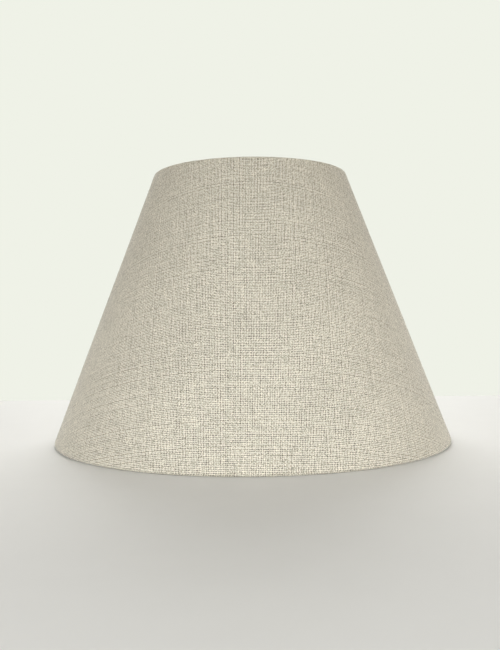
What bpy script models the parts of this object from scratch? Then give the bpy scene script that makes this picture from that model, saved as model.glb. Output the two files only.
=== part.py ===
"""Hard-backed linen lamp shade with rolled hems on two wire rings and a reversible gimbal fitter.

A linen panel, laminated to a stiff PVC liner, is rolled into a cone and lapped at the back. Its
top and bottom hems are rolled over wire rings. Two arms on the top ring carry a small gimbal with
the lampholder ring, which tilts and turns over, and a reducer ring that lifts out of it.

Metres, +Z up. The origin is the centre of the base, where the shade stands on its lower hem.
The camera side of the shade is -Y, so the lap seam is at +Y and the gimbal's pivots lie along X.
"""

from math import atan2, cos, hypot, pi, radians, sin

import bmesh
import bpy
from mathutils import Matrix, Vector

# Driving dimensions
BASE_RADIUS = 0.150  # outside of the lower hem
HEIGHT = 0.2035  # over both hems
TOP_RING_RADIUS = 0.0719  # to the middle of the wire
WIRE_RADIUS = 0.0013
CLOTH = 0.0005  # thickness of the linen
LINER = 0.0004  # thickness of the PVC
TAPE = 0.00025  # thickness of the double-sided tape
GAP = 0.0003  # between pieces that touch

# Rolled hems
HEM_RADIUS = WIRE_RADIUS + GAP + TAPE + GAP + CLOTH  # outside of the roll
HEM_WRAP = radians(270)  # how far round the wire the linen goes
HEM_STEP = radians(31)  # turn between the roll's facets
FLAT_HALF = radians(22)  # half of the roll's flat stretch, which the shade stands on
TAPE_FROM, TAPE_TO = radians(75), radians(-100)  # arc of tape on the wire, from the outer side

# Lap seam: the linen's inner end dips under its outer end
AROUND = 60  # flat facets round the shade
SEAM_ANGLE = radians(90)
SLOT = radians(0.15)  # between the outer end's edge and where the linen dips
LAP_DIP = CLOTH + GAP + TAPE + GAP
LAP_INSET = 0.008  # the inner end is cut back by this much at both hems
LINER_EDGE = 0.0019  # from a ring's centre to the liner's edge, along the slope

# Gimbal
PIVOT_Z = HEIGHT - 0.0105
EYE_X = 0.0315  # middle of the arm's flattened end
EYE_HALF_WIDTH = 0.0034
PLATE = 0.0012  # thickness of the eyes, straps and fitter ring
ARM_BEND = 0.003
RIVET_HOLE = 0.00165
RIVET_SHANK = 0.00135
RIVET_HEAD = 0.0029
HEAD_DEPTH = 0.0011
DROP = 0.025  # from the pivots down to the top of the fitter ring
STRAP_HALF_WIDTH = 0.004
FOOT_INSET = 0.0002
FITTER_HOLE = 0.02125
FITTER_RADIUS = 0.0275
COLLAR_WALL = 0.001
COLLAR_DEPTH = 0.0034
REDUCER_HOLE = 0.0146
REDUCER_RADIUS = 0.024
REDUCER_WALL = 0.0016
REDUCER_DEPTH = 0.0045

LINEN_COLOUR = (0.60, 0.55, 0.45)
WHITE_COLOUR = (0.86, 0.86, 0.84)
TAPE_COLOUR = (0.78, 0.74, 0.62)
STEEL_COLOUR = (0.60, 0.60, 0.61)

# Worked out from the above
FLAT_DEPTH = HEM_RADIUS * cos(FLAT_HALF)  # from a ring's centre to the roll's flat stretch
BASE_RING_RADIUS = BASE_RADIUS - HEM_RADIUS
BASE_RING_Z = FLAT_DEPTH
TOP_RING_Z = HEIGHT - FLAT_DEPTH
SLOPE = atan2(BASE_RING_RADIUS - TOP_RING_RADIUS, TOP_RING_Z - BASE_RING_Z)
SLANT = hypot(BASE_RING_RADIUS - TOP_RING_RADIUS, TOP_RING_Z - BASE_RING_Z)
ARM_X = EYE_X - PLATE / 2 + WIRE_RADIUS  # the wire and its eye are flush on the strap's side
STRAP_X = EYE_X - PLATE - GAP
FITTER_TOP = PIVOT_Z - DROP


def empty_scene():
    for ob in list(bpy.data.objects):
        bpy.data.objects.remove(ob)


def collection(name):
    made = bpy.data.collections.new(name)
    bpy.context.scene.collection.children.link(made)
    return made


def material(name, colour, roughness, metallic=0.0):
    mat = bpy.data.materials.new(name)
    mat.use_nodes = True
    shader = mat.node_tree.nodes["Principled BSDF"]
    shader.inputs["Base Color"].default_value = (*colour, 1.0)
    shader.inputs["Roughness"].default_value = roughness
    shader.inputs["Metallic"].default_value = metallic
    return mat


def mesh_object(name, verts, edges, faces, where, mat):
    me = bpy.data.meshes.new(name)
    me.from_pydata([Vector(v) for v in verts], edges, faces)
    me.materials.append(mat)
    ob = bpy.data.objects.new(name, me)
    where.objects.link(ob)
    return ob


def smooth(ob):
    ob.data.shade_smooth()
    ob.data.set_sharp_from_angle(angle=radians(40))


def solidify(ob, thickness):
    """Gives an open surface its thickness, on the side away from its normals."""
    mod = ob.modifiers.new("thickness", "SOLIDIFY")
    mod.thickness = thickness
    mod.offset = -1.0
    mod.use_even_offset = True


def turned(name, points, where, mat, steps=AROUND, closed=False):
    """A profile of (radius, height) points turned about Z. It runs down its outer side."""
    verts = [(r, 0.0, z) for r, z in points]
    edges = [(i, i + 1) for i in range(len(verts) - 1)]
    if closed:
        edges.append((len(verts) - 1, 0))
    ob = mesh_object(name, verts, edges, [], where, mat)
    mod = ob.modifiers.new("turn", "SCREW")
    mod.steps = mod.render_steps = steps
    mod.use_merge_vertices = True
    mod.merge_threshold = 0.00001
    mod.use_smooth_shade = True
    return ob


def as_mesh(ob):
    """Replaces a curve by a mesh of the same shape, with its caps welded on."""
    evaluated = ob.evaluated_get(bpy.context.evaluated_depsgraph_get())
    me = bpy.data.meshes.new_from_object(evaluated)
    bm = bmesh.new()
    bm.from_mesh(me)
    bmesh.ops.remove_doubles(bm, verts=bm.verts, dist=0.000001)
    bm.to_mesh(me)
    bm.free()
    name, where, place = ob.name, ob.users_collection[0], ob.matrix_world.copy()
    bpy.data.objects.remove(ob)
    made = bpy.data.objects.new(name, me)
    made.matrix_world = place
    where.objects.link(made)
    return made


def boolean(ob, other, operation):
    mod = ob.modifiers.new(operation.lower(), "BOOLEAN")
    mod.object = other
    mod.operation = operation
    mod.solver = "EXACT"


def hide_cutter(ob):
    ob.hide_render = True
    ob.display_type = "WIRE"


def flat_outline(name, loops, half_thickness, where, mat):
    """A flat plate in its own XY plane, from closed loops of points. Inner loops are holes."""
    curve = bpy.data.curves.new(name, "CURVE")
    curve.dimensions = "2D"
    curve.fill_mode = "BOTH"
    curve.extrude = half_thickness
    for loop in loops:
        spline = curve.splines.new("POLY")
        spline.points.add(len(loop) - 1)
        for point, (x, y) in zip(spline.points, loop):
            point.co = (x, y, 0.0, 1.0)
        spline.use_cyclic_u = True
    curve.materials.append(mat)
    ob = bpy.data.objects.new(name, curve)
    where.objects.link(ob)
    return ob


def wire(name, points, radius, where, mat):
    curve = bpy.data.curves.new(name, "CURVE")
    curve.dimensions = "3D"
    curve.bevel_depth = radius
    curve.bevel_resolution = 2
    curve.use_fill_caps = True
    spline = curve.splines.new("POLY")
    spline.points.add(len(points) - 1)
    for point, co in zip(spline.points, points):
        point.co = (*co, 1.0)
    curve.materials.append(mat)
    ob = bpy.data.objects.new(name, curve)
    where.objects.link(ob)
    return ob


def circle(radius, steps, centre=(0.0, 0.0)):
    turns = [2 * pi * i / steps for i in range(steps)]
    return [(centre[0] + radius * cos(a), centre[1] + radius * sin(a)) for a in turns]


def tongue(half_width, straight_end, round_centre, steps=10):
    """Outline of a strip on the second axis, from a straight end to a round one about a centre."""
    side = 1 if round_centre > straight_end else -1
    turns = [pi * i / steps for i in range(steps + 1)]
    arc = [(half_width * cos(a), round_centre + side * half_width * sin(a)) for a in turns]
    return [(half_width, straight_end), *arc, (-half_width, straight_end)]


def spread(start, end, largest_step):
    """Evenly spaced angles from start to end, both included."""
    steps = max(1, round(abs(end - start) / largest_step))
    return [start + (end - start) * i / steps for i in range(steps + 1)]


# The shade's wall

def ring_centre(top):
    return (TOP_RING_RADIUS, TOP_RING_Z) if top else (BASE_RING_RADIUS, BASE_RING_Z)


def hem_arc(top):
    """The roll's outer side as (radius, height) points, from where it leaves the slope.

    It goes over the wire's far side, where it is flat, and ends tucked in behind the wire.
    """
    turn = 1 if top else -1
    middle = turn * pi / 2
    angles = spread(SLOPE, middle - turn * FLAT_HALF, HEM_STEP)
    angles += spread(middle + turn * FLAT_HALF, SLOPE + turn * HEM_WRAP, HEM_STEP)
    radius, height = ring_centre(top)
    return [(radius + HEM_RADIUS * cos(a), height + HEM_RADIUS * sin(a)) for a in angles]


def on_slope(along, depth):
    """A point at a distance up the slope from the lower ring, and a depth inside the linen's face."""
    out = HEM_RADIUS - depth
    radius = BASE_RING_RADIUS - along * sin(SLOPE) + out * cos(SLOPE)
    return radius, BASE_RING_Z + along * cos(SLOPE) + out * sin(SLOPE)


def lapped_sheet(name, rows, thickness, end_angle, where, mat):
    """A sheet rolled into a cone. Each row is (radius, height, share of the lap's dip that it takes).

    The rows run from the bottom up. The sheet's outer end stops at end_angle, and its inner end
    dips under the outer one. Only the rows that dip fully carry on there, for one facet.
    """
    facet = 2 * pi / AROUND
    angles = [facet * i for i in range(AROUND) if facet * i < end_angle] + [end_angle]
    verts, faces = [], []

    def vertex(row, angle, dip):
        radius, height, share = row
        depth = dip * share
        radius -= depth * cos(SLOPE)
        turn = SEAM_ANGLE + angle
        verts.append((radius * cos(turn), radius * sin(turn), height - depth * sin(SLOPE)))

    for i, angle in enumerate(angles):
        for row in rows:
            vertex(row, angle, LAP_DIP if i == 0 else 0.0)
    count = len(rows)
    for i in range(len(angles) - 1):
        for j in range(count - 1):
            a = i * count + j
            faces.append((a, a + count, a + count + 1, a + 1))
    dipping = [j for j, row in enumerate(rows) if row[2] == 1]
    first = len(verts)
    for j in dipping:
        vertex(rows[j], -facet, LAP_DIP)
    for k in range(len(dipping) - 1):
        faces.append((first + k, dipping[k], dipping[k + 1], first + k + 1))
    ob = mesh_object(name, verts, [], faces, where, mat)
    solidify(ob, thickness)
    smooth(ob)
    return ob


def arm_slits(where, mat):
    """Cutters for the slits in the upper hem, through which the gimbal's arms reach the ring."""
    half = WIRE_RADIUS + GAP
    arm_top = TOP_RING_Z + half
    inside = TOP_RING_RADIUS - 0.006
    outline = [
        (inside, TOP_RING_Z - 0.005),
        (TOP_RING_RADIUS + 0.0016, TOP_RING_Z - 0.005),
        (TOP_RING_RADIUS + 0.0016, TOP_RING_Z - WIRE_RADIUS),
        (TOP_RING_RADIUS, TOP_RING_Z),
        (TOP_RING_RADIUS, arm_top),
        (inside, arm_top),
    ]
    cutters = []
    for side in (-1, 1):
        cutter = flat_outline("slit_cutter", [outline], half, where, mat)
        turn = Matrix.Rotation(pi / 2, 4, "X")
        cutter.matrix_world = Matrix.Rotation(0 if side > 0 else pi, 4, "Z") @ turn
        bpy.context.view_layer.update()
        cutter = as_mesh(cutter)
        hide_cutter(cutter)
        cutters.append(cutter)
    return cutters


def linen_cover(where, cutting, mat):
    low = [(r, z, 0) for r, z in reversed(hem_arc(top=False))]
    high = [(r, z, 0) for r, z in hem_arc(top=True)]
    middle = [(*on_slope(along, 0.0), 1) for along in (LAP_INSET, SLANT - LAP_INSET)]
    ob = lapped_sheet("linen_cover", low + middle + high, CLOTH, 2 * pi - SLOT, where, mat)
    for cutter in arm_slits(cutting, mat):
        boolean(ob, cutter, "DIFFERENCE")
    return ob


def pvc_liner(where, mat):
    depth = CLOTH + GAP
    ends = (LINER_EDGE, LAP_INSET, SLANT - LAP_INSET, SLANT - LINER_EDGE)
    edge_share = LINER_EDGE / LAP_INSET
    shares = (edge_share, 1, 1, edge_share)
    rows = [(*on_slope(along, depth), share) for along, share in zip(ends, shares)]
    facet = 2 * pi / AROUND
    return lapped_sheet("pvc_liner", rows, LINER, 2 * pi - facet - 2 * SLOT, where, mat)


def seam_tape(where, mat):
    """The strip of tape between the two ends of the linen."""
    depth = CLOTH + GAP
    verts = []
    for turn in (-2 * pi / AROUND, -2 * SLOT):
        for along in (LAP_INSET, SLANT - LAP_INSET):
            radius, height = on_slope(along, depth)
            angle = SEAM_ANGLE + turn
            verts.append((radius * cos(angle), radius * sin(angle), height))
    ob = mesh_object("seam_tape", verts, [], [(0, 2, 3, 1)], where, mat)
    solidify(ob, TAPE)
    return ob


def wire_ring(name, top, where, mat):
    radius, height = ring_centre(top)
    bpy.ops.mesh.primitive_torus_add(
        major_segments=AROUND,
        minor_segments=8,
        major_radius=radius,
        minor_radius=WIRE_RADIUS,
        location=(0, 0, height),
    )
    ob = bpy.context.object
    ob.name = ob.data.name = name
    ob.data.materials.append(mat)
    for old in ob.users_collection:
        old.objects.unlink(ob)
    where.objects.link(ob)
    smooth(ob)
    return ob


def ring_tape(name, top, where, mat):
    """The tape on a ring's wire, on its outer side and its end."""
    ring_r, ring_z = ring_centre(top)
    start, end = (-TAPE_TO, -TAPE_FROM) if top else (TAPE_FROM, TAPE_TO)
    radius = WIRE_RADIUS + GAP + TAPE
    angles = spread(start, end, radians(35))
    points = [(ring_r + radius * cos(a), ring_z + radius * sin(a)) for a in angles]
    ob = turned(name, points, where, mat)
    solidify(ob, TAPE)
    return ob


# The gimbal. Each side's pieces are made at +X and turned about Z for the other side.

def put_on_side(ob, side):
    bpy.context.view_layer.update()
    if side < 0:
        ob.matrix_world = Matrix.Rotation(pi, 4, "Z") @ ob.matrix_world


def standing_plate(name, loops, middle_x, where, mat):
    """A plate in the YZ plane, from loops of (y, z) points."""
    ob = flat_outline(name, loops, PLATE / 2, where, mat)
    ob.matrix_world = Matrix.Translation((middle_x, 0, 0)) @ Matrix(
        ((0, 0, 1, 0), (1, 0, 0, 0), (0, 1, 0, 0), (0, 0, 0, 1))
    )
    bpy.context.view_layer.update()
    return as_mesh(ob)


def gimbal_arm(name, side, where, cutting, mat):
    """A wire from the top ring, bent down and flattened to an eye for the rivet."""
    points = [(TOP_RING_RADIUS - WIRE_RADIUS - GAP, 0.0, TOP_RING_Z)]
    for a in spread(0, pi / 2, pi / 10):
        x = ARM_X + ARM_BEND * (1 - sin(a))
        points.append((x, 0.0, TOP_RING_Z - ARM_BEND * (1 - cos(a))))
    points.append((ARM_X, 0.0, PIVOT_Z + EYE_HALF_WIDTH + 0.0008))
    ob = as_mesh(wire(name, points, WIRE_RADIUS, where, mat))
    eye_top = PIVOT_Z + EYE_HALF_WIDTH + 0.0018
    loops = [
        tongue(EYE_HALF_WIDTH, eye_top, PIVOT_Z),
        circle(RIVET_HOLE, 16, (0.0, PIVOT_Z)),
    ]
    eye = standing_plate(name + "_eye", loops, EYE_X, cutting, mat)
    put_on_side(eye, side)
    put_on_side(ob, side)
    hide_cutter(eye)
    boolean(ob, eye, "UNION")
    return ob


def drop_strap(name, side, where, cutting, mat):
    """A strap that hangs from the rivet and turns in under the fitter ring."""
    foot_top = FITTER_TOP - PLATE - GAP
    foot_low = foot_top - PLATE
    loops = [
        tongue(STRAP_HALF_WIDTH, foot_low, PIVOT_Z),
        circle(RIVET_HOLE, 16, (0.0, PIVOT_Z)),
    ]
    ob = standing_plate(name, loops, STRAP_X, where, mat)
    inner = FITTER_HOLE + COLLAR_WALL + 2 * GAP
    outer = STRAP_X + PLATE / 4
    bpy.ops.mesh.primitive_cube_add(size=1.0)
    foot = bpy.context.object
    foot.name = name + "_foot"
    size = (outer - inner, 2 * (STRAP_HALF_WIDTH - FOOT_INSET), PLATE)
    place = Matrix.Translation(((outer + inner) / 2, 0, (foot_top + foot_low) / 2))
    foot.data.transform(place @ Matrix.Diagonal((*size, 1.0)))
    for old in foot.users_collection:
        old.objects.unlink(foot)
    cutting.objects.link(foot)
    put_on_side(foot, side)
    put_on_side(ob, side)
    hide_cutter(foot)
    boolean(ob, foot, "UNION")
    return ob


def pivot_rivet(name, side, where, mat):
    """A rivet along X through an arm's eye and its strap."""
    half_grip = (EYE_X - STRAP_X + PLATE) / 2 + GAP
    half = half_grip + HEAD_DEPTH
    crown = RIVET_HEAD * 0.6
    points = [
        (0.0, half),
        (crown, half),
        (RIVET_HEAD, half_grip + HEAD_DEPTH * 0.4),
        (RIVET_HEAD, half_grip),
        (RIVET_SHANK, half_grip),
    ]
    points += [(r, -z) for r, z in reversed(points)]
    ob = turned(name, points, where, mat, steps=16)
    middle = Matrix.Translation(((EYE_X + STRAP_X) / 2, 0, PIVOT_Z))
    ob.matrix_world = middle @ Matrix.Rotation(pi / 2, 4, "Y")
    put_on_side(ob, side)
    return ob


def fitter_ring(where, mat):
    """The pressed steel ring that a lampholder goes through, its hole turned down to a collar."""
    low = FITTER_TOP - PLATE
    outer = FITTER_HOLE + COLLAR_WALL
    points = [
        (FITTER_HOLE, FITTER_TOP - 0.0006),
        (FITTER_HOLE + 0.0006, FITTER_TOP),
        (FITTER_RADIUS - 0.0004, FITTER_TOP),
        (FITTER_RADIUS, FITTER_TOP - 0.0004),
        (FITTER_RADIUS, low),
        (outer, low),
        (outer, FITTER_TOP - COLLAR_DEPTH),
        (FITTER_HOLE, FITTER_TOP - COLLAR_DEPTH),
    ]
    return turned("fitter_ring", points, where, mat, steps=48, closed=True)


def reducer_ring(where, mat):
    """The plastic ring that rests in the fitter ring and narrows its hole."""
    low = FITTER_TOP + GAP
    high = low + REDUCER_WALL
    spigot = FITTER_HOLE - GAP
    inner = REDUCER_HOLE + REDUCER_WALL
    points = [
        (REDUCER_HOLE, high),
        (REDUCER_RADIUS - 0.0004, high),
        (REDUCER_RADIUS, high - 0.0004),
        (REDUCER_RADIUS, low),
        (spigot, low),
        (spigot, low - REDUCER_DEPTH),
        (spigot - REDUCER_WALL, low - REDUCER_DEPTH),
        (spigot - REDUCER_WALL, low),
        (inner, low),
        (inner, low - REDUCER_DEPTH * 0.6),
        (REDUCER_HOLE, low - REDUCER_DEPTH * 0.6),
    ]
    return turned("reducer_ring", points, where, mat, steps=40, closed=True)


def main():
    empty_scene()
    parts = collection("lamp_shade")
    cutting = collection("cutters")

    linen = material("natural_linen", LINEN_COLOUR, 0.9)
    liner_plastic = material("white_pvc", WHITE_COLOUR, 0.45)
    tape = material("double_sided_tape", TAPE_COLOUR, 0.5)
    coated = material("white_coated_wire", WHITE_COLOUR, 0.35)
    steel = material("zinc_steel", STEEL_COLOUR, 0.35, 1.0)
    plastic = material("white_plastic", WHITE_COLOUR, 0.4)

    linen_cover(parts, cutting, linen)
    pvc_liner(parts, liner_plastic)
    seam_tape(parts, tape)
    wire_ring("top_ring", True, parts, coated)
    wire_ring("bottom_ring", False, parts, coated)
    ring_tape("top_ring_tape", True, parts, tape)
    ring_tape("bottom_ring_tape", False, parts, tape)

    for side, word in ((-1, "left"), (1, "right")):
        gimbal_arm("gimbal_arm_" + word, side, parts, cutting, coated)
        drop_strap("drop_strap_" + word, side, parts, cutting, coated)
        pivot_rivet("pivot_rivet_" + word, side, parts, steel)
    fitter_ring(parts, coated)
    reducer_ring(parts, plastic)


main()
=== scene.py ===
"""Looks of the linen lamp shade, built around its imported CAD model.

The shade is a sheet of linen laminated to a white PVC liner, lapped at the back (+Y) and rolled
over two wire rings. Its fabric keeps the coordinates of the flat pattern, so that the grain is
straight at the front and turns towards the sides, as cloth does on a cone. Metres, +Z up.
"""

from math import atan2, copysign, cos, hypot, pi, radians, sin, sqrt

import bmesh
import bpy
from mathutils import Matrix, Vector, noise


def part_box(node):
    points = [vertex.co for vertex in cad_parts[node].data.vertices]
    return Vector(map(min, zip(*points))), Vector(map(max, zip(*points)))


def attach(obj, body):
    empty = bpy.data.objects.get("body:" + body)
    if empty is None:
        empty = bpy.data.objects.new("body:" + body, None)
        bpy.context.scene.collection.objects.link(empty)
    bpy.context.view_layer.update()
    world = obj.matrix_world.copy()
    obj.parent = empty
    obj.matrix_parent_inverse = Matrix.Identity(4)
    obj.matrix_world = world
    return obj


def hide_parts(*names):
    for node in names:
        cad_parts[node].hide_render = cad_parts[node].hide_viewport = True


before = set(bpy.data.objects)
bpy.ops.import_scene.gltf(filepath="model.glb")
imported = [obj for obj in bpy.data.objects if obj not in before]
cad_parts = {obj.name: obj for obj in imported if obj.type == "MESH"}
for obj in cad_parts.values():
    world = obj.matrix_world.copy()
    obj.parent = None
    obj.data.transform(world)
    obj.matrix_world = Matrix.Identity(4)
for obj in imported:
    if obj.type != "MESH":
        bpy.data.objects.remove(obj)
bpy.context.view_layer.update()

# Sheet thicknesses and gaps, as in the CAD model
CLOTH = 0.0005
LINER = 0.0004
TAPE = 0.00025
GAP = 0.0003
PLATE = 0.0012

# The cone, from the boxes of the two ring wires
LOW_RING_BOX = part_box("bottom_ring")
TOP_RING_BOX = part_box("top_ring")
WIRE = (LOW_RING_BOX[1].z - LOW_RING_BOX[0].z) / 2
LOW_RING = (LOW_RING_BOX[1].x - WIRE, LOW_RING_BOX[1].z - WIRE)  # radius, height
TOP_RING = (TOP_RING_BOX[1].x - WIRE, TOP_RING_BOX[1].z - WIRE)
HEM = WIRE + GAP + TAPE + GAP + CLOTH  # outside radius of the rolled hem
HEM_FLAT = LOW_RING[1]  # the roll is pressed to this where the shade stands
SLOPE = atan2(LOW_RING[0] - TOP_RING[0], TOP_RING[1] - LOW_RING[1])
SLANT = hypot(LOW_RING[0] - TOP_RING[0], TOP_RING[1] - LOW_RING[1])
APEX = (LOW_RING[0] + HEM * cos(SLOPE)) / sin(SLOPE)  # from the cone's tip to the lower ring

# The lap at the back
SEAM = radians(90)
SEAM_SLOT = radians(0.15)
WALL_END = 2 * pi - SEAM_SLOT  # angles round the wall are counted from the seam
FACET = radians(6)  # how far the linen laps
LAP_DIP = CLOTH + GAP + TAPE + GAP
LAP_INSET = 0.008
LAP_TAPER = 0.0005  # the dip fades out this far from the rings
PRESSED_OVER = radians(0.7)  # the outer edge of the lap is pressed in over this angle
PRESSED_SHARE = 0.3
LINER_EDGE = 0.0019
LINER_END = 2 * pi - FACET - 2 * SEAM_SLOT
LAP_CLEAR = radians(0.9)  # how far the liner's hem ends stay off the seam

# The hems
HEM_WRAP = radians(270)
ARMS = (pi / 2, 3 * pi / 2)
HALF_SLIT = (WIRE + GAP) / (TOP_RING[0] - WIRE)  # half the angle of the slit for an arm
SLIT_FROM = pi - 0.65  # angle about the wire at which the slits begin
SLITS = [arm + half for arm in ARMS for half in (-HALF_SLIT, HALF_SLIT)]
SLIT_CLEAR = radians(0.3)  # no other column stands this near to a slit's edge
SWAY = 0.00022
SWAY_FADE = 0.03  # the wall sways less, the nearer it is to a ring
PUCKERS_FROM = 0.35  # the share of the tuck at which the gathers begin
LOW_PUCKERS = 0.00022
TOP_PUCKERS = 0.00010

# The gimbal
PIVOT_Z = (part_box("pivot_rivet_right")[0].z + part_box("pivot_rivet_right")[1].z) / 2
EYE_X = 0.0315
EYE_HALF_WIDTH = 0.0034
ARM_X = EYE_X - PLATE / 2 + WIRE
ARM_BEND = 0.003
RIVET_HOLE = 0.00165
RIVET_SHANK = 0.00135
RIVET_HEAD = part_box("pivot_rivet_right")[1].y
RIVET_X = (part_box("pivot_rivet_right")[0].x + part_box("pivot_rivet_right")[1].x) / 2
HEAD_DEPTH = 0.0011
RIVET_FLANGE = 0.0004  # thickness of the rolled end's rim
RIVET_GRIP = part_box("pivot_rivet_right")[1].x - RIVET_X - HEAD_DEPTH
STRAP_X = EYE_X - PLATE - GAP
STRAP_HALF_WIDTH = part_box("drop_strap_right")[1].y
STRAP_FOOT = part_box("drop_strap_right")[0].x  # where the foot ends under the fitter
STRAP_BEND = 0.0014  # radius of the strip's middle
FOOT_CORNER = 0.0018
EDGE = 0.00018  # the rounding of stamped edges
WELD_X = 0.0258
WELD_Y = 0.0018
WELD_MARK = 0.0011
WELD_DEPTH = 0.00014
FITTER_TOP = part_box("fitter_ring")[1].z
FITTER_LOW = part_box("fitter_ring")[0].z
FITTER_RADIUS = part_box("fitter_ring")[1].x
FITTER_HOLE = 0.02125
COLLAR_WALL = 0.001
REDUCER_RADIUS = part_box("reducer_ring")[1].x
REDUCER_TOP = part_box("reducer_ring")[1].z
REDUCER_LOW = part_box("reducer_ring")[0].z
REDUCER_HOLE = 0.0146
REDUCER_WALL = 0.0016
REDUCER_RIBS = 8
RIB_HALF = 0.00045

# The table and the camera
TABLE_EDGE = 0.288
TABLE_FRONT = -0.9
TABLE_HALF = 1.0
TABLE_CORNER = 0.02
CAMERA_PLACE = (0.0, -0.585, 0.09283)
CAMERA_LENS = 41.447
CAMERA_SENSOR = 36.0
CAMERA_YAW = radians(0.1225)
CAMERA_PITCH = radians(90 - 0.5)
CAMERA_ROLL = radians(-0.643)

# The weave
WARP = 0.00102  # pitch of the upright threads, at the front
WEFT = 0.00112  # pitch of the level threads
WANDER = 0.3  # how far the threads wander, in pitches
WANDERS = 130.0  # changes of their course for each metre
UNEVEN = 0.11  # how far a whole thread lies off its place, in pitches
SLUB = 1.5  # how fast a thread's thickness changes, in turns of noise for each pitch along it
STREAK = 0.06  # how fast a thread's tone changes, counted as SLUB is
STREAK_DEPTH = 0.08  # how far the tone of those stretches strays
WARP_LOOK = (0.20, 0.56, 0.62, 0.06)  # thin, thick, height at the middle, stray of the tone
WEFT_LOOK = (0.14, 0.54, 0.62, 0.08)
CROSSING = 0.05  # how much darker the darkest crossing is
SPECKS = 2400.0  # dark specks for each metre
SPECK_DEPTH = 0.5  # how much darker a speck is
SPECK_EDGE = 0.48  # the noise value at which a speck has faded out
GAP_SHADE_DARKEST_BELOW = 0.32  # height at or below which the painted shade in a gap is darkest
GAP_SHADE_NONE_ABOVE = 0.60  # height from which a thread has its full colour, free of painted shade
APART = 3.7  # keeps one thread's noise apart from the next one's
TONE_APART = 7.3  # the same for the noise of its tone
# The darkest painted shade, deep in the gaps between the threads
GAP_SHADE_COLOUR = (0.066, 0.049, 0.030)
THREAD_COLOUR = (0.677, 0.618, 0.504)


# Materials

class Nodes:
    """Short calls that add nodes to one material and give back their output sockets."""

    def __init__(self, name, roughness, metallic=0.0, specular=0.5, **shader_values):
        self.material = bpy.data.materials.new(name)
        self.material.use_nodes = True
        self.tree = self.material.node_tree
        self.shader = self.tree.nodes["Principled BSDF"]
        self.set("Roughness", roughness)
        self.set("Metallic", metallic)
        self.set("Specular IOR Level", specular)
        for socket, value in shader_values.items():
            self.set(socket.replace("_", " "), value)

    def set(self, socket, value):
        self.feed(self.shader.inputs[socket], value)

    def feed(self, socket, value):
        """Links a socket, or sets a number or colour."""
        if isinstance(value, bpy.types.NodeSocket):
            self.tree.links.new(value, socket)
        elif isinstance(value, tuple) and len(value) == 3 and socket.type == "RGBA":
            socket.default_value = (*value, 1.0)
        else:
            socket.default_value = value

    def add(self, kind):
        return self.tree.nodes.new("ShaderNode" + kind)

    def math(self, operation, a, b=0.0, c=0.0, clamp=False):
        node = self.add("Math")
        node.operation = operation
        node.use_clamp = clamp
        for socket, value in zip(node.inputs, (a, b, c)):
            self.feed(socket, value)
        return node.outputs[0]

    def map(self, value, low, high, to_low=0.0, to_high=1.0, smooth=False):
        node = self.add("MapRange")
        node.interpolation_type = "SMOOTHSTEP" if smooth else "LINEAR"
        for socket, given in zip(node.inputs, (value, low, high, to_low, to_high)):
            self.feed(socket, given)
        return node.outputs[0]

    def mix(self, share, a, b, blend="MIX"):
        node = self.add("Mix")
        node.data_type = "RGBA"
        node.blend_type = blend
        self.feed(node.inputs["Factor"], share)
        self.feed(node.inputs["A"], a)
        self.feed(node.inputs["B"], b)
        return next(s for s in node.outputs if s.type == "RGBA")

    def join(self, x, y, z=0.0):
        node = self.add("CombineXYZ")
        for socket, value in zip(node.inputs, (x, y, z)):
            self.feed(socket, value)
        return node.outputs[0]

    def split(self, vector):
        node = self.add("SeparateXYZ")
        self.feed(node.inputs[0], vector)
        return node.outputs[0], node.outputs[1], node.outputs[2]

    def place(self):
        """The point's own coordinates, in metres."""
        return self.add("TexCoord").outputs["Object"]

    def flat(self):
        """Metres on the flat pattern."""
        node = self.add("UVMap")
        node.uv_map = "flat_pattern"
        return node.outputs[0]

    def noise(self, vector, scale, detail=2.0, roughness=0.5):
        node = self.add("TexNoise")
        self.feed(node.inputs["Vector"], vector)
        self.feed(node.inputs["Scale"], scale)
        self.feed(node.inputs["Detail"], detail)
        self.feed(node.inputs["Roughness"], roughness)
        return node.outputs[0]

    def random(self, vector):
        node = self.add("TexWhiteNoise")
        self.feed(node.inputs["Vector"], vector)
        return node.outputs["Value"]

    def bump(self, height, distance, strength=1.0):
        node = self.add("Bump")
        self.feed(node.inputs["Height"], height)
        self.feed(node.inputs["Distance"], distance)
        self.feed(node.inputs["Strength"], strength)
        self.set("Normal", node.outputs[0])


def thread(n, across, along, lift, look, seed):
    """One set of threads of a plain weave: its height and its tone.

    across and along count threads. lift is 1 where this set lies on top and -1 where it dives.
    look holds the least and most half width, the height where the thread crosses the cloth's
    middle, and how far its tone strays from 1.
    """
    thin, thick, middle, stray = look
    number = n.math("FLOOR", across)
    own = n.random(n.join(number, seed))
    shift = n.map(own, 0.0, 1.0, -UNEVEN, UNEVEN)
    off = n.math("SUBTRACT", n.math("FRACT", across), n.math("ADD", shift, 0.5))
    spun = n.noise(n.join(n.math("MULTIPLY", number, APART), n.math("MULTIPLY", along, SLUB), seed), 1.0)
    half = n.map(spun, 0.3, 0.7, thin, thick)
    share = n.math("DIVIDE", off, half)
    rest = n.math("SUBTRACT", 1.0, n.math("POWER", share, 2.0))
    body = n.math("SQRT", n.math("MAXIMUM", rest, 0.0))
    phase = n.math("MULTIPLY", n.math("SUBTRACT", n.math("FRACT", along), 0.5), pi)
    wave = n.math("MULTIPLY", n.math("COSINE", phase), lift)
    height = n.math("MULTIPLY", body, n.map(wave, -1.0, 1.0, 2 * middle - 1.0, 1.0))
    stretch = n.math("MULTIPLY", along, STREAK)
    streak = n.noise(n.join(n.math("MULTIPLY", number, TONE_APART), stretch, seed), 1.0)
    tone = n.math("MULTIPLY", n.map(spun, 0.3, 0.7, 1.0 - stray, 1.0 + stray),
                  n.map(streak, 0.3, 0.7, 1.0 - STREAK_DEPTH, 1.0 + STREAK_DEPTH))
    return height, tone


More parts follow.
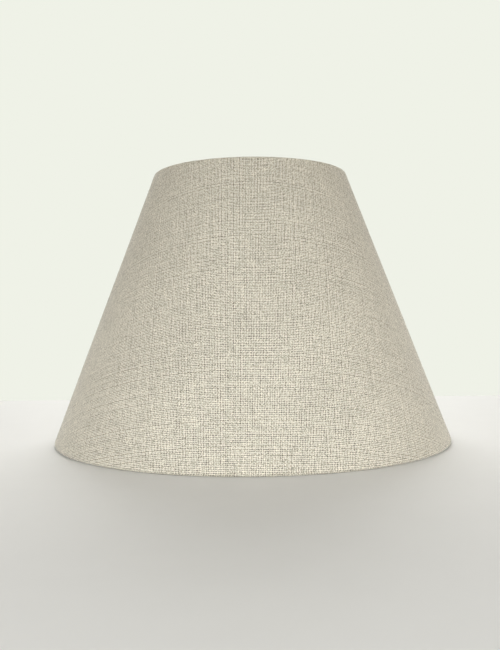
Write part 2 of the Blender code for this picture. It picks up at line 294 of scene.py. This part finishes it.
def linen():
    """A plain weave of uneven natural threads, with slubs and fibres, and shade painted into the gaps between
    them.
    """
    n = Nodes("linen_weave", 0.9, specular=0.25, Sheen_Weight=0.25, Sheen_Roughness=0.45,
              Sheen_Tint=(1.0, 0.96, 0.88, 1.0))
    flat = n.flat()
    u, v, _ = n.split(flat)
    wander = n.noise(flat, WANDERS)
    drift = n.noise(n.join(v, u, 3.1), WANDERS)
    across = n.math("ADD", n.math("DIVIDE", u, WARP), n.map(wander, 0.0, 1.0, -WANDER, WANDER))
    along = n.math("ADD", n.math("DIVIDE", v, WEFT), n.map(drift, 0.0, 1.0, -WANDER, WANDER))
    column = n.math("FLOOR", across)
    row = n.math("FLOOR", along)
    even = n.math("PINGPONG", n.math("ADD", column, row), 1.0)
    warp_lift = n.map(even, 0.0, 1.0, 1.0, -1.0)
    weft_lift = n.map(even, 0.0, 1.0, -1.0, 1.0)
    warp, warp_tone = thread(n, across, along, warp_lift, WARP_LOOK, 0.0)
    weft, weft_tone = thread(n, along, across, weft_lift, WEFT_LOOK, 9.0)
    height = n.math("MAXIMUM", n.math("MAXIMUM", warp, weft), 0.0)
    warp_on_top = n.math("GREATER_THAN", warp, weft)
    tone = n.map(warp_on_top, 0.0, 1.0, weft_tone, warp_tone)

    crossing = n.math("POWER", n.random(n.join(column, row)), 3.0)
    fibres = n.noise(flat, 6000.0, 3.0, 0.6)
    specks = n.noise(flat, SPECKS, 1.0)
    cloud = n.noise(flat, 22.0, 3.0)
    # Painted shade: the lower the weave lies at a point, the nearer its colour goes to the gaps' painted shade
    # colour
    light = n.map(height, GAP_SHADE_DARKEST_BELOW, GAP_SHADE_NONE_ABOVE, 0.0, 1.0, smooth=True)
    colour = n.mix(light, GAP_SHADE_COLOUR, THREAD_COLOUR)
    tone = n.math("MULTIPLY", tone, n.map(crossing, 0.0, 1.0, 1.0, 1.0 - CROSSING))
    speck = n.map(specks, 0.28, SPECK_EDGE, 1.0 - SPECK_DEPTH, 1.0, smooth=True)
    tone = n.math("MULTIPLY", tone, speck)
    tone = n.math("MULTIPLY", tone, n.map(cloud, 0.25, 0.75, 0.96, 1.03))
    tone = n.math("MULTIPLY", tone, n.map(fibres, 0.3, 0.7, 0.95, 1.05))
    colour = n.mix(1.0, colour, n.join(tone, tone, tone), "MULTIPLY")
    n.set("Base Color", colour)
    n.set("Roughness", n.map(light, 0.0, 1.0, 0.98, 0.84))
    relief = n.math("ADD", height, n.math("MULTIPLY", fibres, 0.25))
    n.bump(relief, 0.00016, 0.8)
    return n.material


def liner_plastic():
    """White PVC with a satin face, in which the weave behind it just shows."""
    n = Nodes("pvc_satin", 0.42, specular=0.45)
    flat = n.flat()
    peel = n.noise(flat, 900.0, 2.0)
    cloud = n.noise(flat, 14.0, 3.0)
    u, v, _ = n.split(flat)
    threads = n.math("ADD", n.math("SINE", n.math("MULTIPLY", u, pi / WARP)),
                     n.math("SINE", n.math("MULTIPLY", v, pi / WEFT)))
    n.set("Base Color", n.mix(n.map(cloud, 0.3, 0.7), (0.80, 0.79, 0.745), (0.85, 0.84, 0.80)))
    n.set("Roughness", n.map(cloud, 0.3, 0.7, 0.36, 0.48))
    n.bump(n.math("ADD", peel, n.math("MULTIPLY", threads, 0.06)), 0.00004)
    return n.material


def tape_film():
    """Double-sided tape: a thin, slightly yellow film with streaks of glue."""
    n = Nodes("tape_film", 0.4)
    place = n.place()
    streaks = n.noise(place, 300.0, 3.0)
    n.set("Base Color", n.mix(n.map(streaks, 0.3, 0.7), (0.66, 0.60, 0.44), (0.76, 0.71, 0.57)))
    n.set("Roughness", n.map(streaks, 0.3, 0.7, 0.3, 0.55))
    n.bump(streaks, 0.00003)
    return n.material


def powder_coat():
    """White powder coat: a fine orange peel, greyer where it is thin."""
    n = Nodes("white_powder_coat", 0.34, specular=0.5)
    place = n.place()
    peel = n.noise(place, 1400.0, 2.0)
    thin = n.noise(place, 260.0, 3.0)
    n.set("Base Color", n.mix(n.map(thin, 0.35, 0.75), (0.82, 0.82, 0.80), (0.73, 0.73, 0.71)))
    n.set("Roughness", n.map(peel, 0.3, 0.7, 0.28, 0.42))
    n.bump(peel, 0.00005)
    return n.material


def zinc_steel():
    """Zinc-plated steel with fine scratches from the rivet set."""
    n = Nodes("zinc_plated_steel", 0.3, metallic=1.0)
    x, y, z = n.split(n.place())
    scratches = n.noise(n.join(x, n.math("MULTIPLY", y, 6.0), z), 1500.0, 3.0)
    cloud = n.noise(n.place(), 500.0, 2.0)
    n.set("Base Color", n.mix(n.map(cloud, 0.3, 0.7), (0.56, 0.57, 0.59), (0.68, 0.68, 0.67)))
    n.set("Roughness", n.map(scratches, 0.3, 0.7, 0.22, 0.42))
    n.bump(scratches, 0.00002)
    return n.material


def moulded_plastic():
    """White moulded plastic, fine matt on its faces, with faint flow marks."""
    n = Nodes("moulded_white_plastic", 0.38, specular=0.5)
    place = n.place()
    grain = n.noise(place, 5000.0, 2.0)
    flow = n.noise(place, 160.0, 3.0)
    n.set("Base Color", n.mix(n.map(flow, 0.3, 0.7), (0.81, 0.80, 0.765), (0.86, 0.85, 0.815)))
    n.set("Roughness", n.map(grain, 0.3, 0.7, 0.32, 0.46))
    n.bump(grain, 0.00002)
    return n.material


# Mesh making

def smooth_object(name, me, material, smooth_below):
    me.shade_smooth()
    me.set_sharp_from_angle(angle=radians(smooth_below))
    me.materials.append(material)
    ob = bpy.data.objects.new(name, me)
    bpy.context.scene.collection.objects.link(ob)
    return ob


def mesh_object(name, verts, faces, material):
    me = bpy.data.meshes.new(name)
    me.from_pydata(verts, [], faces)
    return smooth_object(name, me, material, 40)


def spread(start, end, steps):
    return [start + (end - start) * i / steps for i in range(steps + 1)]


def ease(x):
    """0 below 0, 1 above 1, and a smooth rise in between."""
    x = min(max(x, 0.0), 1.0)
    return x * x * (3 - 2 * x)


def new_object(name, bm, material, smooth_below=50):
    """An object of its own from a bmesh, which is used up."""
    bmesh.ops.recalc_face_normals(bm, faces=bm.faces)
    me = bpy.data.meshes.new(name)
    bm.to_mesh(me)
    bm.free()
    return smooth_object(name, me, material, smooth_below)


def turned(name, profile, material, steps=128, ring=True):
    """A profile of (radius, height) points turned about Z. It is a ring, or runs from axis to axis."""
    count = len(profile)
    bm = bmesh.new()
    points = []
    for i in range(steps):
        a = 2 * pi * i / steps
        points.append([bm.verts.new((r * cos(a), r * sin(a), h)) for r, h in profile])
    for i in range(steps):
        here, there = points[i], points[(i + 1) % steps]
        for j in range(count if ring else count - 1):
            m = (j + 1) % count
            bm.faces.new((here[j], there[j], there[m], here[m]))
    bmesh.ops.remove_doubles(bm, verts=bm.verts, dist=1e-7)
    return new_object(name, bm, material)


def rounded(corners, steps=4):
    """A closed outline from (x, y, radius) corners, each cut back by its radius and rounded."""
    out = []
    for i, (x, y, radius) in enumerate(corners):
        here = Vector((x, y))
        before = Vector(corners[i - 1][:2]) - here
        after = Vector(corners[(i + 1) % len(corners)][:2]) - here
        start = here + before.normalized() * min(radius, before.length * 0.49)
        end = here + after.normalized() * min(radius, after.length * 0.49)
        for t in spread(0.0, 1.0, steps):
            p = start * (1 - t) ** 2 + here * 2 * t * (1 - t) + end * t * t
            out.append((p.x, p.y))
    return out


def section(half_width, half_thickness, corner, steps=6):
    """A rectangle with round corners, or a circle, as points about its middle."""
    corner = min(corner, half_width, half_thickness)
    points = []
    for quarter in range(4):
        for k in range(steps):
            a = (quarter + (k + 0.5) / steps) * pi / 2
            x = copysign(half_width - corner, cos(a)) + corner * cos(a)
            y = copysign(half_thickness - corner, sin(a)) + corner * sin(a)
            points.append((x, y))
    return points


def swept(name, stations, material):
    """A closed bar through stations of (x, z, outward x, outward z, half width, half thickness, corner).

    The bar lies in the XZ plane and its width is along Y.
    """
    bm = bmesh.new()
    loops = []
    for x, z, out_x, out_z, half_width, half_thickness, corner in stations:
        loop = []
        for wide, thick in section(half_width, half_thickness, corner):
            loop.append(bm.verts.new((x + out_x * thick, wide, z + out_z * thick)))
        loops.append(loop)
    for here, there in zip(loops, loops[1:]):
        for j in range(len(here)):
            k = (j + 1) % len(here)
            bm.faces.new((here[j], here[k], there[k], there[j]))
    bm.faces.new(loops[0])
    bm.faces.new(loops[-1])
    return new_object(name, bm, material)


def cut(ob, cutter):
    """Takes the cutter's shape out of an object, and the cutter away."""
    mod = ob.modifiers.new("cut", "BOOLEAN")
    mod.object = cutter
    mod.operation = "DIFFERENCE"
    mod.solver = "EXACT"
    evaluated = ob.evaluated_get(bpy.context.evaluated_depsgraph_get())
    me = bpy.data.meshes.new_from_object(evaluated)
    ob.modifiers.clear()
    ob.data = me
    me.shade_smooth()
    me.set_sharp_from_angle(angle=radians(35))
    bpy.data.objects.remove(cutter)


def drill(ob, at, radius):
    """Cuts a round hole along X."""
    bpy.ops.mesh.primitive_cylinder_add(
        vertices=48, radius=radius, depth=0.004, location=at, rotation=(0, pi / 2, 0)
    )
    cut(ob, bpy.context.object)


def dent(ob, x, y, z, side):
    """Presses the shallow round mark of a spot weld into a face that looks up (1) or down (-1)."""
    ball = (WELD_MARK**2 + WELD_DEPTH**2) / (2 * WELD_DEPTH)
    at = (x, y, z + side * (ball - WELD_DEPTH))
    bpy.ops.mesh.primitive_uv_sphere_add(segments=96, ring_count=192, radius=ball, location=at)
    cut(ob, bpy.context.object)


def on_other_side(ob, side):
    if side < 0:
        ob.data.transform(Matrix.Rotation(pi, 4, "Z"))


# The shade's wall

def sway(angle, along):
    """How far the wall stands out of a true cone at a place."""
    where = Vector((cos(angle) * 1.6, sin(angle) * 1.6, along * 9))
    calm = ease(along / SWAY_FADE) * ease((SLANT - along) / SWAY_FADE)
    return SWAY * calm * noise.noise(where)


def hem_row(top, turn):
    """A point of the rolled hem's outer side, from its angle about the wire: (radius, height)."""
    middle = pi / 2 if top else -pi / 2
    pressed = cos(1.5 * (turn - middle)) ** 2 if abs(turn - middle) < pi / 3 else 0.0
    out = HEM - (HEM - HEM_FLAT) * pressed
    radius, height = TOP_RING if top else LOW_RING
    return radius + out * cos(turn), height + out * sin(turn)


def slope_row(along, depth=0.0):
    """A point of the slope, at a distance up it and a depth inside the linen's face."""
    out = HEM - depth
    radius = LOW_RING[0] - along * sin(SLOPE) + out * cos(SLOPE)
    return radius, LOW_RING[1] + along * cos(SLOPE) + out * sin(SLOPE)


def dip_share(angle, under):
    """The share of the lap's dip at an angle: all of it under the lap, none past the first facet."""
    return 1.0 if under else 1.0 - ease(angle / FACET)


def lap_share(along):
    """The share of the lap's dip at a distance up the slope: none at the hems."""
    return ease((along - LAP_TAPER) / LAP_INSET) * ease((SLANT - LAP_TAPER - along) / LAP_INSET)


def slope_rows(edge, hem_steps, steps):
    """Distances up the slope, with a row at each end of the lap."""
    lap_end = SLANT - LAP_INSET
    low = spread(edge, LAP_INSET, hem_steps)
    middle = spread(LAP_INSET, lap_end, steps)[1:]
    return low + middle + spread(lap_end, SLANT - edge, hem_steps)[1:]


def in_lap(along):
    """Whether the wall carries on under its own end at this distance up the slope."""
    return LAP_INSET * 0.999 < along < SLANT - LAP_INSET * 0.999


def panel_rows():
    """The linen from its lower tucked edge up: (radius, height, distance up the slope, tuck).

    tuck grows from 0 on the slope to 1 at a tucked edge, and is negative at the lower hem.
    """
    rows = []
    for t in spread(1.0, 0.0, 24)[:-1]:
        radius, height = hem_row(False, SLOPE - HEM_WRAP * t)
        rows.append((radius, height, -HEM * HEM_WRAP * t, -t))
    for along in slope_rows(0.0, 3, 30):
        rows.append((*slope_row(along), along, 0.0))
    for t in spread(0.0, 1.0, 24)[1:]:
        radius, height = hem_row(True, SLOPE + HEM_WRAP * t)
        rows.append((radius, height, SLANT + HEM * HEM_WRAP * t, t))
    return rows


def columns():
    """Angles round from the seam, with a column at each edge of the slits for the arms."""
    plain = [a for a in spread(0.0, WALL_END, 480) if all(abs(a - s) > SLIT_CLEAR for s in SLITS)]
    return sorted(plain + SLITS)


def in_slit(angle, tuck):
    """Whether a face of the upper hem lies where an arm comes through."""
    by_arm = any(abs(angle - arm) < HALF_SLIT for arm in ARMS)
    return by_arm and tuck > 0 and SLOPE + HEM_WRAP * tuck > SLIT_FROM


def puckers(angle, tuck):
    """The gathers that the hem's allowance makes where it is tucked in."""
    strength = ease((abs(tuck) - PUCKERS_FROM) / (1 - PUCKERS_FROM)) * (LOW_PUCKERS if tuck < 0 else TOP_PUCKERS)
    return strength * noise.noise(Vector((cos(angle) * 19, sin(angle) * 19, tuck * 1.3)))


class Sheet:
    """A sheet on the cone, made of lines of points up the wall."""

    def __init__(self, place):
        """place(row, angle, under) gives a point's radius, height and distance up the slope."""
        self.place = place
        self.verts, self.faces, self.flat = [], [], []

    def line(self, rows, angle, under=False):
        """Adds a line of points and gives back their numbers."""
        first = len(self.verts)
        turn = SEAM + angle
        flat_turn = (angle - pi) * sin(SLOPE)
        for row in rows:
            radius, height, along = self.place(row, angle, under)
            self.verts.append((radius * cos(turn), radius * sin(turn), height))
            tip = APEX - along
            self.flat.append((tip * sin(flat_turn), -tip * cos(flat_turn)))
        return list(range(first, len(self.verts)))

    def join(self, left, right, skip=()):
        """Adds the faces between two lines, the one at the smaller angle first."""
        for k in range(len(left) - 1):
            if k not in skip:
                self.faces.append((left[k], right[k], right[k + 1], left[k + 1]))

    def lap_under(self, rows, edge, steps):
        """Carries the wall on from the seam, under its own end."""
        for angle in spread(0.0, -FACET, steps)[1:]:
            new = self.line(rows, angle, under=True)
            self.join(new, edge)
            edge = new

    def carry_on(self, rows, edge, start, end, steps):
        for angle in spread(start, end, steps)[1:]:
            new = self.line(rows, angle)
            self.join(edge, new)
            edge = new

    def finish(self, name, thickness, material):
        """The object, with the flat pattern's coordinates and without points that no face uses."""
        ob = mesh_object(name, self.verts, self.faces, material)
        layer = ob.data.uv_layers.new(name="flat_pattern")
        for loop in ob.data.loops:
            layer.data[loop.index].uv = self.flat[loop.vertex_index]
        bm = bmesh.new()
        bm.from_mesh(ob.data)
        loose = [v for v in bm.verts if not v.link_faces]
        bmesh.ops.delete(bm, geom=loose, context="VERTS")
        bm.to_mesh(ob.data)
        bm.free()
        thicken(ob, thickness)
        return ob


def thicken(ob, thickness):
    mod = ob.modifiers.new("thickness", "SOLIDIFY")
    mod.thickness = thickness
    mod.offset = -1.0
    mod.use_even_offset = True


def linen_place(row, angle, under):
    radius, height, along, tuck = row
    turn = SEAM + angle
    pressed = 0.0 if under else ease(1 - (WALL_END - angle) / PRESSED_OVER) * PRESSED_SHARE
    out = sway(turn, along) - LAP_DIP * lap_share(along) * max(dip_share(angle, under), pressed)
    radius += out * cos(SLOPE)
    height += out * sin(SLOPE)
    if tuck:
        ring = TOP_RING if tuck > 0 else LOW_RING
        away = Vector((radius - ring[0], height - ring[1]))
        away *= 1 + puckers(turn, tuck) / away.length
        radius, height = ring[0] + away.x, ring[1] + away.y
    return radius, height, along


def linen_panel(material):
    rows = panel_rows()
    tucks = [(low[3] + high[3]) / 2 for low, high in zip(rows, rows[1:])]
    angles = columns()
    sheet = Sheet(linen_place)
    lines = [sheet.line(rows, angle) for angle in angles]
    for i in range(len(angles) - 1):
        middle = (angles[i] + angles[i + 1]) / 2
        slit = {k for k, tuck in enumerate(tucks) if in_slit(middle, tuck)}
        sheet.join(lines[i], lines[i + 1], slit)
    lapped = [j for j, row in enumerate(rows) if in_lap(row[2])]
    sheet.lap_under([rows[j] for j in lapped], [lines[0][j] for j in lapped], 8)
    return sheet.finish("linen_panel", CLOTH, material)


def liner_place(along, angle, under):
    share = min(1.0, along / LAP_INSET, (SLANT - along) / LAP_INSET)
    radius, height = slope_row(along, CLOTH + GAP + LAP_DIP * share * dip_share(angle, under))
    out = sway(SEAM + angle, along)
    return radius + out * cos(SLOPE), height + out * sin(SLOPE), along


def liner_sheet(material):
    """The PVC under the linen. Beside the hems, where nothing laps under it, it runs on to the seam."""
    rows = slope_rows(LINER_EDGE, 3, 22)
    sheet = Sheet(liner_place)
    lines = [sheet.line(rows, angle) for angle in spread(0.0, LINER_END, 300)]
    for left, right in zip(lines, lines[1:]):
        sheet.join(left, right)
    lapped = [j for j, along in enumerate(rows) if in_lap(along)]
    sheet.lap_under([rows[j] for j in lapped], [lines[0][j] for j in lapped], 6)
    for hem in (slice(0, lapped[0]), slice(lapped[-1] + 1, None)):
        sheet.carry_on(rows[hem], lines[-1][hem], LINER_END, 2 * pi - LAP_CLEAR, 6)
    return sheet.finish("liner_sheet", LINER, material)


def ring_wire(name, ring, material):
    profile = [(ring[0] + WIRE * cos(a), ring[1] + WIRE * sin(a)) for a in spread(0, 2 * pi, 16)[:-1]]
    return turned(name, profile, material, steps=240)


# The gimbal's pieces, made at +X and turned about Z for the other side

def eye_end(x, radius, corner, start):
    """Stations of a flat round end about the pivot, from an angle below level down to its tip."""
    stations = []
    for a in spread(start, radians(86), 12):
        z = PIVOT_Z - radius * sin(a)
        stations.append((x, z, -1, 0, radius * cos(a), PLATE / 2, corner))
    return stations


def arm_wire(name, side, material):
    """A round wire, welded to the top ring, bent down and flattened to an eye."""
    stations = []
    bend_x = ARM_X + ARM_BEND
    for x in spread(TOP_RING[0] - WIRE * 0.5, bend_x + 0.001, 24):
        swell = 0.1 * ease(1 - (TOP_RING[0] - WIRE - x) / 0.0016)
        radius = WIRE * (1 + swell)
        stations.append((x, TOP_RING[1], 0, 1, radius, radius, radius))
    for a in spread(0, pi / 2, 12):
        x = bend_x - ARM_BEND * sin(a)
        z = TOP_RING[1] - ARM_BEND * (1 - cos(a))
        stations.append((x, z, -sin(a), cos(a), WIRE, WIRE, WIRE))
    neck_top = TOP_RING[1] - ARM_BEND
    for t in spread(0, 1, 18)[1:]:
        z = neck_top + (PIVOT_Z - neck_top) * t
        flat = ease(t / 0.45)
        x = ARM_X + (EYE_X - ARM_X) * flat
        rise = min(max(z - PIVOT_Z, 0.0) / EYE_HALF_WIDTH, 1.0)
        disc = EYE_HALF_WIDTH * sqrt(1 - rise**2)
        wide = sqrt(disc**2 + (WIRE * (1 - t)) ** 2) if flat >= 1 else max(disc, WIRE * (1 + 0.3 * flat))
        thick = WIRE + (PLATE / 2 - WIRE) * flat
        corner = WIRE + (EDGE - WIRE) * flat
        stations.append((x, z, -1, 0, min(wide, EYE_HALF_WIDTH), thick, corner))
    stations += eye_end(EYE_X, EYE_HALF_WIDTH, EDGE, radians(6))
    ob = swept(name, stations, material)
    drill(ob, (EYE_X, 0, PIVOT_Z), RIVET_HOLE)
    on_other_side(ob, side)
    return ob


def strap(name, side, material):
    """A strip with a round eye, bent inwards at its foot, which is spot-welded under the fitter."""
    stations = []
    for a in spread(radians(86), 0, 14):
        stations.append((STRAP_X, PIVOT_Z + STRAP_HALF_WIDTH * sin(a), 1, 0,
                         STRAP_HALF_WIDTH * cos(a), PLATE / 2, EDGE))
    foot_z = FITTER_TOP - PLATE - GAP - PLATE / 2
    bend_z = foot_z + STRAP_BEND
    for z in spread(PIVOT_Z, bend_z, 6)[1:]:
        stations.append((STRAP_X, z, 1, 0, STRAP_HALF_WIDTH, PLATE / 2, EDGE))
    for a in spread(0, pi / 2, 10)[1:]:
        x = STRAP_X - STRAP_BEND * (1 - cos(a))
        z = bend_z - STRAP_BEND * sin(a)
        stations.append((x, z, cos(a), -sin(a), STRAP_HALF_WIDTH, PLATE / 2, EDGE))
    for a in spread(0, radians(86), 10):
        x = STRAP_FOOT + FOOT_CORNER * (1 - sin(a))
        wide = STRAP_HALF_WIDTH - FOOT_CORNER * (1 - cos(a))
        stations.append((x, foot_z, 0, -1, wide, PLATE / 2, EDGE))
    ob = swept(name, stations, material)
    drill(ob, (STRAP_X, 0, PIVOT_Z), RIVET_HOLE)
    for y in (-WELD_Y, WELD_Y):
        dent(ob, WELD_X, y, foot_z - PLATE / 2, -1)
    on_other_side(ob, side)
    return ob


def rivet(name, side, material):
    """A semi-tubular rivet: a domed head outside, and a rolled end with its hollow inside."""
    grip = RIVET_GRIP
    profile = [(0.0, grip + HEAD_DEPTH)]
    for a in spread(radians(84), radians(18), 8):
        profile.append((RIVET_HEAD * cos(a) / cos(radians(18)), grip + HEAD_DEPTH * sin(a)))
    profile += [(RIVET_HEAD, grip + 0.00015), (RIVET_HEAD - 0.00015, grip)]
    profile += [(RIVET_SHANK, grip), (RIVET_SHANK, -grip)]
    profile += [(RIVET_HEAD - 0.0003, -grip)]
    lip = (RIVET_HEAD - 0.0007) / 2
    for a in spread(radians(-20), radians(200), 14):
        rolled = RIVET_FLANGE + (HEAD_DEPTH - RIVET_FLANGE) * max(sin(a), -0.3)
        profile.append((RIVET_HEAD - lip + lip * cos(a), -grip - rolled))
    profile += [(0.00065, -grip - 0.0001), (0.00055, -grip + 0.0008), (0.0, -grip + 0.001)]
    ob = turned(name, profile, material, steps=64, ring=False)
    ob.data.transform(Matrix.Translation((RIVET_X, 0, PIVOT_Z)) @ Matrix.Rotation(pi / 2, 4, "Y"))
    on_other_side(ob, side)
    return ob


def fitter_plate(material):
    """A pressed ring with its inner edge turned down into a collar."""
    under = FITTER_TOP - PLATE
    collar = FITTER_HOLE + COLLAR_WALL
    profile = rounded([
        (FITTER_RADIUS, FITTER_TOP, 0.0003),
        (FITTER_HOLE, FITTER_TOP, 0.0010),
        (FITTER_HOLE, FITTER_LOW, 0.0003),
        (collar, FITTER_LOW, 0.0003),
        (collar, under, 0.0003),
        (FITTER_RADIUS, under, 0.0003),
    ], 6)
    ob = turned("fitter_plate", profile, material, steps=192)
    for x in (-WELD_X, WELD_X):
        for y in (-WELD_Y, WELD_Y):
            dent(ob, x, y, FITTER_TOP, 1)
    return ob


def reducer_moulding(material):
    """A flanged ring whose spigot sits in the fitter, with ribs to its inner collar."""
    flange_low = REDUCER_TOP - REDUCER_WALL
    spigot = FITTER_HOLE - GAP
    collar_low = REDUCER_LOW + 0.0018
    profile = rounded([
        (REDUCER_HOLE, REDUCER_TOP, 0.0006),
        (REDUCER_RADIUS, REDUCER_TOP, 0.0006),
        (REDUCER_RADIUS, flange_low, 0.0003),
        (spigot, flange_low, 0.0002),
        (spigot, REDUCER_LOW, 0.0004),
        (spigot - REDUCER_WALL, REDUCER_LOW, 0.0004),
        (spigot - REDUCER_WALL, flange_low, 0.0005),
        (REDUCER_HOLE + REDUCER_WALL, flange_low, 0.0005),
        (REDUCER_HOLE + REDUCER_WALL, collar_low, 0.0004),
        (REDUCER_HOLE, collar_low, 0.0004),
    ], 6)
    ring = turned("reducer_moulding", profile, material, steps=192)
    inner = REDUCER_HOLE + REDUCER_WALL / 2
    outer = spigot - REDUCER_WALL / 2
    rib_low = collar_low + 0.0005
    middle = (rib_low + flange_low + 0.0003) / 2
    half = flange_low + 0.0003 - middle
    bm = bmesh.new()
    bm.from_mesh(ring.data)
    for i in range(REDUCER_RIBS):
        turn = Matrix.Rotation(2 * pi * (i + 0.5) / REDUCER_RIBS, 4, "Z")
        rib = swept("rib", [(x, middle, 0, 1, RIB_HALF, half, 0.0001) for x in (inner, outer)], material)
        rib.data.transform(turn)
        bm.from_mesh(rib.data)
        bpy.data.objects.remove(rib)
    bm.to_mesh(ring.data)
    bm.free()
    return ring


def piece(ob, body, node):
    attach(ob, body)
    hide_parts(node)


def make_shade():
    cloth = linen()
    white = powder_coat()
    steel = zinc_steel()
    plastic = moulded_plastic()
    film = tape_film()
    panel = linen_panel(cloth)
    piece(panel, "shade", "linen_cover")
    piece(liner_sheet(liner_plastic()), "shade", "pvc_liner")
    piece(ring_wire("upper_ring_wire", TOP_RING, white), "shade", "top_ring")
    piece(ring_wire("lower_ring_wire", LOW_RING, white), "shade", "bottom_ring")
    for hand, side in (("left", -1), ("right", 1)):
        piece(arm_wire("arm_wire_" + hand, side, white), "shade", "gimbal_arm_" + hand)
        piece(rivet("rivet_" + hand, side, steel), "shade", "pivot_rivet_" + hand)
        piece(strap("strap_" + hand, side, white), "gimbal", "drop_strap_" + hand)
    piece(fitter_plate(white), "gimbal", "fitter_ring")
    piece(reducer_moulding(plastic), "reducer", "reducer_ring")
    for node in ("seam_tape", "top_ring_tape", "bottom_ring_tape"):
        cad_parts[node].data.materials[0] = film


def stage():
    """A pale table top, whose far edge shows behind the shade."""
    corners = rounded([
        (TABLE_HALF, TABLE_FRONT, TABLE_CORNER),
        (TABLE_HALF, TABLE_EDGE, TABLE_CORNER),
        (-TABLE_HALF, TABLE_EDGE, TABLE_CORNER),
        (-TABLE_HALF, TABLE_FRONT, TABLE_CORNER),
    ])
    bm = bmesh.new()
    bm.faces.new([bm.verts.new((x, y, 0.0)) for x, y in corners])
    n = Nodes("pale_floor", 0.7, specular=0.3)
    grain = n.noise(n.place(), 40.0, 4.0)
    n.set("Base Color", n.mix(grain, (0.73, 0.72, 0.695), (0.75, 0.74, 0.715)))
    floor = new_object("floor", bm, n.material)


def area_light(name, at, look_at, size, spread_angle, power, colour):
    light = bpy.data.lights.new(name, "AREA")
    light.shape = "RECTANGLE"
    light.size, light.size_y = size
    light.energy = power
    light.color = colour
    light.spread = radians(spread_angle)
    ob = bpy.data.objects.new(name, light)
    ob.location = at
    ob.rotation_euler = (Vector(look_at) - Vector(at)).to_track_quat("-Z", "Y").to_euler()
    ob.visible_camera = False
    bpy.context.scene.collection.objects.link(ob)


def room_light():
    """Soft, slightly warm light from all round, with a pale wall behind."""
    world = bpy.data.worlds.new("room")
    bpy.context.scene.world = world
    world.use_nodes = True
    tree = world.node_tree
    around = tree.nodes["Background"]
    around.inputs["Color"].default_value = (1.0, 0.94, 0.83, 1.0)
    around.inputs["Strength"].default_value = 0.12
    wall = tree.nodes.new("ShaderNodeBackground")
    wall.inputs["Color"].default_value = (0.865, 0.885, 0.80, 1.0)
    path = tree.nodes.new("ShaderNodeLightPath")
    choice = tree.nodes.new("ShaderNodeMixShader")
    tree.links.new(path.outputs["Is Camera Ray"], choice.inputs[0])
    tree.links.new(around.outputs[0], choice.inputs[1])
    tree.links.new(wall.outputs[0], choice.inputs[2])
    tree.links.new(choice.outputs[0], tree.nodes["World Output"].inputs["Surface"])


def lights():
    """Large soft lights round the shade, and a weak one for the daylight that the cloth lets in."""
    room_light()
    area_light("above", (0, 0, 1.5), (0, 0, 0), (1.6, 1.6), 180, 7.1, (1.0, 0.94, 0.83))
    area_light("through_the_cloth", (0, 0, 0.15), (0, 0, 0), (0.1, 0.1), 180, 0.05, (1.0, 0.93, 0.82))
    area_light("front", (0, -2.2, 0.46), (0, -0.15, -0.03), (2.2, 0.6), 60, 7.1, (0.92, 0.97, 1.0))
    area_light("low", (0, -2.2, 0.46), (0, -0.15, -0.12), (0.8, 0.3), 24, 0.58, (0.88, 0.96, 1.06))
    area_light("left", (-0.9, -0.3, 0.1), (0, 0, 0.05), (1.0, 0.15), 90, 0.35, (1.0, 0.97, 0.9))
    area_light("right", (0.9, -0.3, 0.1), (0, 0, 0.05), (1.0, 0.15), 90, 0.6, (1.0, 0.97, 0.9))
    area_light("back", (0, 1.4, 0.9), (0, 0, 0.1), (1.6, 0.8), 120, 13.0, (0.95, 0.97, 0.97))


def camera():
    data = bpy.data.cameras.new("camera")
    data.lens = CAMERA_LENS
    data.sensor_width = CAMERA_SENSOR
    data.clip_start = 0.01
    ob = bpy.data.objects.new("camera", data)
    yaw = Matrix.Rotation(CAMERA_YAW, 4, "Z")
    pitch = Matrix.Rotation(CAMERA_PITCH, 4, "X")
    roll = Matrix.Rotation(CAMERA_ROLL, 4, "Z")
    ob.matrix_world = Matrix.Translation(CAMERA_PLACE) @ yaw @ pitch @ roll
    bpy.context.scene.collection.objects.link(ob)
    bpy.context.scene.camera = ob


make_shade()
stage()
lights()
camera()
bpy.context.scene.view_settings.view_transform = "Standard"
